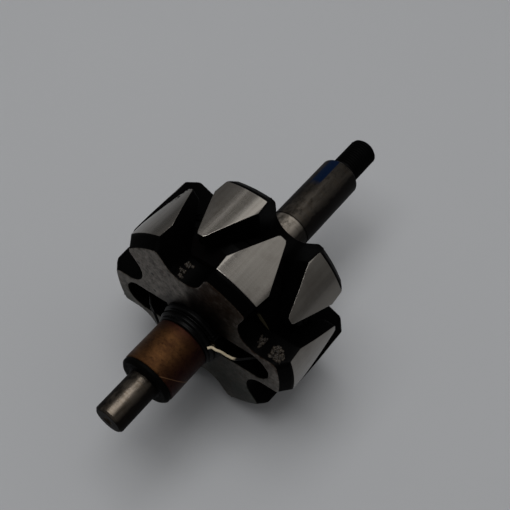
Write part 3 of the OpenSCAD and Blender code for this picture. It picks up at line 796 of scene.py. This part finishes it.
@dataclass
class RotorShaft:
    """Stepped shaft with its threaded end."""

    stub_end: float = -65.2
    collar_end: float = -47.4
    face: float = 20.2
    groove: float = 37.5
    shoulder: float = 73.1
    tip: float = 90.8
    stub_r: float = 6.0
    hub_seat_r: float = 7.0
    pole_seat_r: float = 9.0
    drive_r: float = 8.5
    thread_r: float = 6.0
    thread_pitch: float = 1.25
    thread_depth: float = 0.72
    thread_rows: int = 200
    thread_sides: int = 72
    runout: tuple[float, float] = (1.0, 2.6)
    tip_chamfer: float = 1.1
    core_gap: float = 0.05
    sleeve_r: float = 4.5
    sleeve_sink: float = 0.4
    body_sharp: float = 28.0
    thread_sharp: float = 50.0
    finish: ShaftSteel = field(default_factory=ShaftSteel)

    def body(self) -> bpy.types.Mesh:
        """Turns the shaft, with the thread's core at its root radius.

        Returns:
            The mesh, without the thread.
        """
        core = self.thread_r - self.thread_depth - self.core_gap
        # Centre hole and chamfer, stub, hub seat, pole seat, drive seat with its groove, shoulder, thread core and tip.
        profile: Profile = [
            (self.stub_end + 2.8, 0.0), (self.stub_end + 1.2, 0.9), (self.stub_end + 1.1, 1.0),
            (self.stub_end + 0.25, 2.0), (self.stub_end, 2.2),
            (self.stub_end, self.stub_r - 0.9), (self.stub_end + 0.12, self.stub_r - 0.7),
            (self.stub_end + 0.7, self.stub_r - 0.1), (self.stub_end + 1.0, self.stub_r),
            (self.collar_end, self.stub_r), (self.collar_end, self.hub_seat_r),
            (-self.face, self.hub_seat_r), (-self.face, self.pole_seat_r), (self.face, self.pole_seat_r),
            (self.face, self.drive_r), (self.groove - 0.45, self.drive_r), (self.groove - 0.3, self.drive_r - 0.28),
            (self.groove + 0.3, self.drive_r - 0.28), (self.groove + 0.45, self.drive_r),
            (self.shoulder - 1.25, self.drive_r), (self.shoulder - 0.95, self.drive_r - 0.15),
            (self.shoulder - 0.1, self.drive_r - 1.0), (self.shoulder, self.drive_r - 1.2),
            (self.shoulder, core), (self.tip - 0.35, core), (self.tip, core - 0.35), (self.tip, 2.0),
            (self.tip - 2.8, 0.0),
        ]
        mesh = lathe(profile)
        soften(mesh, self.body_sharp)
        return mesh

    def thread_sizes(self) -> dict[str, float | int]:
        """Lists the thread's sizes in mm, under the names of its tree's inputs."""
        return {"Radius": self.thread_r, "Depth": self.thread_depth, "Pitch": self.thread_pitch,
                "Start": self.shoulder, "Length": self.tip - self.shoulder}

    def thread_tree(self) -> bpy.types.NodeTree:
        """Builds the geometry tree that rolls a grid into a right-hand thread.

        Returns:
            The tree.
        """
        t, given = geometry_tree("thread", self.thread_sizes())
        grid = add(t, "GeometryNodeMeshGrid", {
            "Size X": 1.0, "Size Y": 1.0, "Vertices X": self.thread_rows, "Vertices Y": self.thread_sides + 1,
        }).outputs[0]
        place = add(t, "ShaderNodeSeparateXYZ", {0: add(t, "GeometryNodeInputPosition").outputs[0]})
        u = add(t, "ShaderNodeMath", {0: place.outputs[0], 1: 0.5}).outputs[0]
        v = add(t, "ShaderNodeMath", {0: place.outputs[1], 1: 0.5}).outputs[0]
        run = add(t, "ShaderNodeMath", {0: u, 1: given["Length"]}, operation="MULTIPLY").outputs[0]
        along = add(t, "ShaderNodeMath", {0: run, 1: given["Start"]}).outputs[0]
        steps = add(t, "ShaderNodeMath", {0: run, 1: given["Pitch"]}, operation="DIVIDE").outputs[0]
        phase = add(t, "ShaderNodeMath", {0: steps, 1: v}, operation="SUBTRACT").outputs[0]
        phase = add(t, "ShaderNodeMath", {0: phase}, operation="FRACT").outputs[0]
        wave = add(t, "ShaderNodeMath", {0: phase, 1: 0.5}, operation="SUBTRACT").outputs[0]
        wave = add(t, "ShaderNodeMath", {0: wave}, operation="ABSOLUTE").outputs[0]
        groove = add(t, "ShaderNodeMapRange", {0: wave, 1: 0.06, 2: 0.44}).outputs[0]
        # The groove runs out over the first turn, next to the shoulder.
        runout = add(t, "ShaderNodeMapRange", {0: run, 1: self.runout[0], 2: self.runout[1]}).outputs[0]
        groove = add(t, "ShaderNodeMath", {0: groove, 1: runout}, operation="MULTIPLY").outputs[0]
        cut = add(t, "ShaderNodeMath", {0: groove, 1: given["Depth"]}, operation="MULTIPLY").outputs[0]
        radius = add(t, "ShaderNodeMath", {0: given["Radius"], 1: cut}, operation="SUBTRACT").outputs[0]
        # Chamfered tip: the radius falls at 45 degrees over the last millimetre.
        left = add(t, "ShaderNodeMath", {0: given["Length"], 1: run}, operation="SUBTRACT").outputs[0]
        fall = add(t, "ShaderNodeMapRange", {
            0: left, 1: 0.0, 2: self.tip_chamfer, 3: self.tip_chamfer, 4: 0.0,
        }).outputs[0]
        cap = add(t, "ShaderNodeMath", {0: given["Radius"], 1: fall}, operation="SUBTRACT").outputs[0]
        radius = add(t, "ShaderNodeMath", {0: radius, 1: cap}, operation="MINIMUM").outputs[0]
        angle = add(t, "ShaderNodeMath", {0: v, 1: math.tau}, operation="MULTIPLY").outputs[0]
        spot = round_shaft(t, along, radius, angle)
        rolled = add(t, "GeometryNodeSetPosition", {"Geometry": grid, "Position": spot}).outputs[0]
        welded = add(t, "GeometryNodeMergeByDistance", {"Geometry": rolled, "Distance": 1e-6}).outputs[0]
        close_tree(t, welded)
        return t

    def close_thread(self, thread: bpy.types.Mesh) -> None:
        """Closes the thread to a sleeve, whose inner wall is sunk in the shaft.

        Args:
            thread: the rolled thread, open at both ends.
        """
        bm = bmesh.new()
        bm.from_mesh(thread)
        middle = (self.shoulder + self.tip) / 2 * MM
        half_step = math.pi / self.thread_sides
        ends = [v for v in bm.verts if v.is_boundary]
        # Half a step keeps the points off the angle's seam, so that both rims start at the same one.
        ends.sort(key=lambda v: (math.atan2(v.co.y, v.co.z) + half_step) % math.tau)
        rims = [[v for v in ends if (v.co.x > middle) == at_tip] for at_tip in (False, True)]
        walls = []
        for rim in rims:
            shrinks = [self.sleeve_r * MM / math.hypot(v.co.y, v.co.z) for v in rim]
            walls.append([bm.verts.new((v.co.x - self.sleeve_sink * MM, v.co.y * shrink, v.co.z * shrink))
                          for v, shrink in zip(rim, shrinks)])
        loops = (rims[0], walls[0], walls[1], rims[1])
        for low, high in zip(loops, loops[1:]):
            for k in range(self.thread_sides):
                bm.faces.new((low[k - 1], low[k], high[k], high[k - 1]))
        bmesh.ops.recalc_face_normals(bm, faces=bm.faces)
        bm.to_mesh(thread)
        bm.free()

    def build(self) -> None:
        """Builds the shaft with its thread and puts it in the CAD shaft's place."""
        thread = baked("thread", self.thread_tree(), self.thread_sizes())
        self.close_thread(thread)
        soften(thread, self.thread_sharp)
        whole = joined("stepped_shaft", self.body(), thread)
        mesh_piece("stepped_shaft", whole, self.finish.build(), "shaft_steel", "shaft")


@dataclass
class ClawPolePair:
    """The two claw poles, with broken edges."""

    edge_mm: float = 0.35
    corner_mm: float = 1.9
    rim_mm: float = 0.9
    finish: ClawSteel = field(default_factory=ClawSteel)

    def build(self) -> None:
        """Builds both poles."""
        steel = self.finish.build()
        for node in ("slip_end_pole", "drive_end_pole"):
            mesh = rounded(node, self.edge_mm, self.corner_mm, self.rim_mm)
            mesh_piece(node + "_dressed", mesh, steel, "claw_steel", node)


@dataclass
class SlipRingEnd:
    """Hub, copper ring and collar, with rounded edges."""

    edge_mm: float = 0.22

    def build(self) -> None:
        """Builds the three mouldings and turnings."""
        for node, finish, slot in (
            ("slip_ring_hub", HUB_PHENOLIC, "hub_plastic"),
            ("slip_ring", RingCopper(), "ring_copper"),
            ("ring_end_collar", COLLAR_FIBRE, "collar_plastic"),
        ):
            mesh_piece(node + "_dressed", rounded(node, self.edge_mm), finish.build(), slot, node)


@dataclass
class FieldLeads:
    """The two lead wires from the hub into the winding, each a round tube along its path."""

    wire_r: float = 0.5
    steps: int = 64
    sides: int = 16
    path: tuple[tuple[float, float, float], ...] = (
        (11.2, 4.1, -25.5), (12.4, 4.51, -24.6), (14.06, 4.3, -24.5), (15.6, 3.39, -23.7), (17.6, 1.2, -22.7),
        (19.9, 0.0, -21.6), (22.58, -0.6, -19.0), (25.0, -0.3, -16.8), (26.0, 0.0, -15.0), (26.0, 0.0, -8.8),
    )

    def tube_tree(self) -> bpy.types.NodeTree:
        """Builds the geometry tree that smooths a path and sweeps a circle along it.

        Returns:
            The tree.
        """
        t, given = geometry_tree("lead", {"Radius": self.wire_r, "Steps": self.steps, "Sides": self.sides})
        line = add(t, "GeometryNodeMeshToCurve", {"Mesh": given["Geometry"]}).outputs[0]
        smooth = add(t, "GeometryNodeCurveSplineType", {"Curve": line}, spline_type="CATMULL_ROM").outputs[0]
        even = add(t, "GeometryNodeResampleCurve", {"Curve": smooth, "Count": given["Steps"]}).outputs[0]
        radius = add(t, "ShaderNodeMath", {0: given["Radius"], 1: MM}, operation="MULTIPLY").outputs[0]
        ring = add(t, "GeometryNodeCurvePrimitiveCircle", {"Resolution": given["Sides"], "Radius": radius}).outputs[0]
        tube = add(t, "GeometryNodeCurveToMesh", {"Curve": even, "Profile Curve": ring, "Fill Caps": True}).outputs[0]
        close_tree(t, tube)
        return t

    def build(self) -> None:
        """Sweeps both leads."""
        tree = self.tube_tree()
        for side, finish in ((LeadSide.A, LEAD_A_COVER), (LeadSide.B, LEAD_B_COVER)):
            s, c = math.sin(math.radians(side.value)), math.cos(math.radians(side.value))
            spots = [(x * MM, (r * s + w * c) * MM, (r * c - w * s) * MM) for r, w, x in self.path]
            line = bpy.data.meshes.new("lead_path")
            line.from_pydata(spots, [(k, k + 1) for k in range(len(spots) - 1)], [])
            letter = side.name.lower()
            mesh = baked("lead_" + letter, tree, {"Radius": self.wire_r}, line)
            mesh_piece("lead_wire_" + letter + "_dressed", mesh, finish.build(), "lead_cover", "lead_wire_" + letter)


@dataclass(frozen=True)
class DripRun:
    """One crust of varnish lumps on a notch wall, in mm and degrees.

    place, radius and first are its middle along X, from the shaft line and round it, window its depth into the wall,
    slant the wall's lean in degrees per mm of radius, spread its half sizes along X and the radius, size the largest
    lump's radius and count the places on the whole circle that may hold a lump.
    """

    name: str
    place: float
    radius: float
    first: float
    window: float
    slant: float
    spread: tuple[float, float]
    size: float
    count: int
    seed: int

    def sizes(self) -> dict[str, float | int]:
        """Lists the crust's sizes under the names of the tree's inputs."""
        return {"Place": self.place, "Radius": self.radius, "First": self.first, "Window": self.window,
                "Slant": self.slant, "Spread X": self.spread[0], "Spread R": self.spread[1], "Size": self.size,
                "Count": self.count, "Seed": self.seed}


@dataclass
class ResinDrips:
    """Lumps of impregnating varnish that set on the walls of the notches."""

    smallest: float = 0.6
    clump_scale: float = 260.0
    clump_level: float = 0.5
    wave_scale: float = 900.0
    wave_mm: float = 0.8
    runs: tuple[DripRun, ...] = (
        DripRun("slip_crust", -15.6, 35.9, -67.5, 2.2, -0.41, (2.8, 2.4), 0.65, 50000, 11),
        DripRun("slip_floor_crust", -15.0, 29.0, -62.6, 2.0, -1.5, (3.0, 0.8), 0.55, 40000, 5),
        DripRun("slip_corner_crust", -15.8, 27.1, 15.2, 3.0, 4.0, (3.2, 1.0), 0.6, 30000, 7),
        DripRun("slip_far_crust", -13.4, 31.4, 142.75, 2.0, 0.75, (3.2, 2.4), 0.65, 50000, 17),
        DripRun("drive_crust", 13.4, 31.4, 144.83, 2.0, -0.75, (3.2, 2.4), 0.65, 50000, 13),
    )

    def drip_tree(self) -> bpy.types.NodeTree:
        """Builds the geometry tree that strews lumps over a window of a circle.

        Returns:
            The tree.
        """
        t, given = geometry_tree("drips", self.runs[0].sizes())
        ring = add(t, "GeometryNodeMeshCircle", {"Vertices": given["Count"], "Radius": 1.0}).outputs[0]
        rank = add(t, "GeometryNodeInputIndex").outputs[0]
        step = add(t, "ShaderNodeMath", {0: FULL_TURN, 1: given["Count"]}, operation="DIVIDE").outputs[0]
        angle = add(t, "ShaderNodeMath", {0: rank, 1: step}, operation="MULTIPLY").outputs[0]
        off = add(t, "ShaderNodeMath", {0: angle, 1: given["First"]}, operation="SUBTRACT").outputs[0]
        off = add(t, "ShaderNodeMath", {0: off, 1: FULL_TURN / 2, 2: -FULL_TURN / 2}, operation="WRAP").outputs[0]
        off = add(t, "ShaderNodeMath", {0: off}, operation="ABSOLUTE").outputs[0]
        half = add(t, "ShaderNodeMath", {0: given["Window"], 1: 0.5}, operation="MULTIPLY").outputs[0]
        inside = add(t, "ShaderNodeMath", {0: off, 1: half}, operation="LESS_THAN").outputs[0]
        places = []
        for start, spread, offset in (("Radius", "Spread R", 1.0), ("Place", "Spread X", 2.0)):
            low = add(t, "ShaderNodeMath", {0: given[spread], 1: -1.0}, operation="MULTIPLY").outputs[0]
            seed = add(t, "ShaderNodeMath", {0: given["Seed"], 1: offset}).outputs[0]
            shift = add(t, "FunctionNodeRandomValue",
                        {2: low, 3: given[spread], "Seed": seed}, data_type="FLOAT").outputs[1]
            places.append(add(t, "ShaderNodeMath", {0: given[start], 1: shift}).outputs[0])
        radius, along = places
        # Each lump is turned with its radius, so that the run follows the leaning wall and none hangs in the air.
        lift = add(t, "ShaderNodeMath", {0: radius, 1: given["Radius"]}, operation="SUBTRACT").outputs[0]
        angle = add(t, "ShaderNodeMath", {0: lift, 1: given["Slant"], 2: angle}, operation="MULTIPLY_ADD").outputs[0]
        turn = add(t, "ShaderNodeMath", {0: angle}, operation="RADIANS").outputs[0]
        spot = round_shaft(t, along, radius, turn)
        strewn = add(t, "GeometryNodeSetPosition", {"Geometry": ring, "Position": spot}).outputs[0]
        # The varnish ran together in clumps about 4 mm wide and left the steel bare between them.
        here = add(t, "GeometryNodeInputPosition").outputs[0]
        clump = add(t, "ShaderNodeTexNoise", {"Vector": here, "Scale": self.clump_scale, "Detail": 2.0}).outputs[0]
        clump = add(t, "ShaderNodeMath", {0: clump, 1: self.clump_level}, operation="GREATER_THAN").outputs[0]
        inside = add(t, "ShaderNodeMath", {0: inside, 1: clump}, operation="MULTIPLY").outputs[0]
        lump = add(t, "GeometryNodeMeshIcoSphere", {"Radius": MM, "Subdivisions": 2}).outputs["Mesh"]
        least = add(t, "ShaderNodeMath", {0: given["Size"], 1: self.smallest}, operation="MULTIPLY").outputs[0]
        size = add(t, "FunctionNodeRandomValue",
                   {2: least, 3: given["Size"], "Seed": given["Seed"]}, data_type="FLOAT").outputs[1]
        lumps = add(t, "GeometryNodeInstanceOnPoints",
                    {"Points": strewn, "Selection": inside, "Instance": lump, "Scale": size}).outputs[0]
        real = add(t, "GeometryNodeRealizeInstances", {"Geometry": lumps}).outputs[0]
        wave = add(t, "ShaderNodeTexNoise", {"Vector": here, "Scale": self.wave_scale, "Detail": 2.0}).outputs[0]
        wave = add(t, "ShaderNodeMath", {0: wave, 1: 0.5}, operation="SUBTRACT").outputs[0]
        wave = add(t, "ShaderNodeMath", {0: wave, 1: self.wave_mm * MM}, operation="MULTIPLY").outputs[0]
        normal = add(t, "GeometryNodeInputNormal").outputs[0]
        push = add(t, "ShaderNodeVectorMath", {0: normal, 3: wave}, operation="SCALE").outputs[0]
        shaped = add(t, "GeometryNodeSetPosition", {"Geometry": real, "Offset": push}).outputs[0]
        close_tree(t, shaped)
        return t

    def build(self) -> None:
        """Strews every run of drips."""
        tree, resin = self.drip_tree(), VARNISH_DRIPS.build()
        for run in self.runs:
            mesh_piece(run.name, baked(run.name, tree, run.sizes()), resin, "varnish_resin")


@dataclass
class DressedNodes:
    """CAD nodes whose shape is right and that only get a finish."""

    finishes: dict[str, Insulation] = field(default_factory=lambda: {
        "coil_bobbin": BOBBIN_FIBRE, "slip_side_washer": BOBBIN_FIBRE, "drive_side_washer": BOBBIN_FIBRE,
        "coil_tape": VARNISHED_TAPE, "field_winding": VARNISHED_COPPER, "pole_core": SOFT_IRON,
        "slip_side_resin": VARNISH_RESIN, "drive_side_resin": VARNISH_RESIN,
        "lead_tag_a": TAG_BRASS, "lead_tag_b": TAG_BRASS,
        "lead_sleeve_a": SLEEVE_RUBBER, "lead_sleeve_b": SLEEVE_RUBBER,
    })

    def build(self) -> None:
        """Gives each node its finish."""
        made: dict[Insulation, bpy.types.Material] = {}
        for node, finish in self.finishes.items():
            if finish not in made:
                made[finish] = finish.build()
            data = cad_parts[node].data
            data.materials.clear()
            data.materials.append(made[finish])
            LOG.info("%s: %s", node, made[finish].name)


@dataclass(frozen=True)
class Lamp:
    """A flat lamp that faces the rotor; its level is what a mirror would show of it."""

    name: str
    toward: tuple[float, float, float]
    away: float
    size: tuple[float, float]
    level: float

    def hang(self) -> None:
        """Hangs the lamp with its first size along X as far as it can lie."""
        data = bpy.data.lights.new(self.name, "AREA")
        data.shape = "RECTANGLE"
        data.size, data.size_y = self.size
        data.energy = math.pi * self.size[0] * self.size[1] * self.level
        lamp = bpy.data.objects.new(self.name, data)
        back = Vector(self.toward).normalized()
        side = (Vector((1.0, 0.0, 0.0)) - back * back.x).normalized()
        turn = Matrix((side, back.cross(side), back)).transposed().to_4x4()
        lamp.matrix_world = Matrix.Translation(back * self.away) @ turn
        bpy.context.scene.collection.objects.link(lamp)


@dataclass
class Studio:
    """Floor, lamps, surroundings and the camera."""

    floor: str = "#98999b"
    floor_pale: str = "#9b9c9e"
    floor_half: float = 3.0
    sensor_mm: float = 36.0
    azimuth: float = -56.0387
    elevation: float = 55.6251
    roll: float = 4.4911
    focal_px: float = 829.41
    frame_px: float = 510.0
    eye_mm: tuple[float, float, float] = (-129.4706, -97.1297, 261.9481)
    lamps: tuple[Lamp, ...] = (
        Lamp("overhead_lamp", (-0.05, 0.12, 1.0), 1.1, (0.8, 0.8), 4.5),
        Lamp("back_lamp", (0.468, 0.245, 0.849), 1.0, (0.9, 0.29), 1.08),
        Lamp("strip_lamp", (0.468, 0.57, 0.675), 1.0, (0.9, 0.035), 1.1),
        Lamp("side_lamp", (0.60, -0.34, 0.725), 1.0, (0.45, 0.7), 0.52),
    )
    room: tuple[float, float] = (0.15, 0.35)

    def camera(self) -> None:
        """Puts the camera where the photograph was taken from."""
        data = bpy.data.cameras.new("camera")
        data.sensor_width = self.sensor_mm
        data.lens = self.sensor_mm * self.focal_px / self.frame_px
        data.clip_start = 0.01
        eye = bpy.data.objects.new("camera", data)
        a, e, w = (math.radians(v) for v in (self.azimuth, self.elevation, self.roll))
        back = Vector((math.sin(a) * math.cos(e), -math.cos(a) * math.cos(e), math.sin(e)))
        level = Vector((math.cos(a), math.sin(a), 0.0))
        right = math.cos(w) * level + math.sin(w) * back.cross(level)
        turn = Matrix((right, back.cross(right), back)).transposed().to_4x4()
        eye.matrix_world = Matrix.Translation(Vector(self.eye_mm) * MM) @ turn
        bpy.context.scene.collection.objects.link(eye)
        bpy.context.scene.camera = eye

    def ground(self) -> None:
        """Lays the pale floor under the lowest claw."""
        mesh = bpy.data.meshes.new("floor")
        s, z = self.floor_half, CAD_BOX[0][2]
        mesh.from_pydata([(-s, -s, z), (s, -s, z), (s, s, z), (-s, s, z)], [], [(0, 1, 2, 3)])
        material, t, shader = blank_material("matt_paper_floor")
        spot = add(t, "ShaderNodeTexCoord").outputs["Object"]
        cloud = add(t, "ShaderNodeTexNoise", {"Vector": spot, "Scale": 6.0, "Detail": 2.0}).outputs[0]
        t.links.new(layered(t, self.floor, (cloud, self.floor_pale)), shader.inputs["Base Color"])
        shader.inputs["Roughness"].default_value = 0.9
        shader.inputs["Specular IOR Level"].default_value = 0.1
        mesh.materials.append(material)
        floor = bpy.data.objects.new("floor", mesh)
        bpy.context.scene.collection.objects.link(floor)

    def surroundings(self) -> None:
        """Makes the room: dim at the horizon, brighter overhead."""
        world = bpy.data.worlds.new("room")
        world.use_nodes = True
        t = world.node_tree
        t.nodes.clear()
        spot = add(t, "ShaderNodeTexCoord").outputs["Generated"]
        height = add(t, "ShaderNodeSeparateXYZ", {0: spot}).outputs[2]
        grade = add(t, "ShaderNodeMapRange", {0: height, 1: 0.0, 2: 1.0, 3: self.room[0], 4: self.room[1]}).outputs[0]
        sky = add(t, "ShaderNodeBackground", {"Color": (1.0, 1.0, 1.0, 1.0), "Strength": grade})
        add(t, "ShaderNodeOutputWorld", {0: sky.outputs[0]})
        bpy.context.scene.world = world

    def build(self) -> None:
        """Sets up the whole studio."""
        self.camera()
        self.ground()
        for lamp in self.lamps:
            lamp.hang()
        self.surroundings()
        bpy.context.scene.view_settings.view_transform = "Standard"


def main() -> None:
    """Builds the studio and dresses the rotor, piece by piece."""
    logging.basicConfig(level=logging.INFO, format="%(name)s: %(message)s")
    steps: list[Callable[[], None]] = [
        Studio().build, RotorShaft().build, ClawPolePair().build, SlipRingEnd().build, FieldLeads().build,
        ResinDrips().build, DressedNodes().build,
    ]
    for step in steps:
        step()


if __name__ == "__main__":
    main()
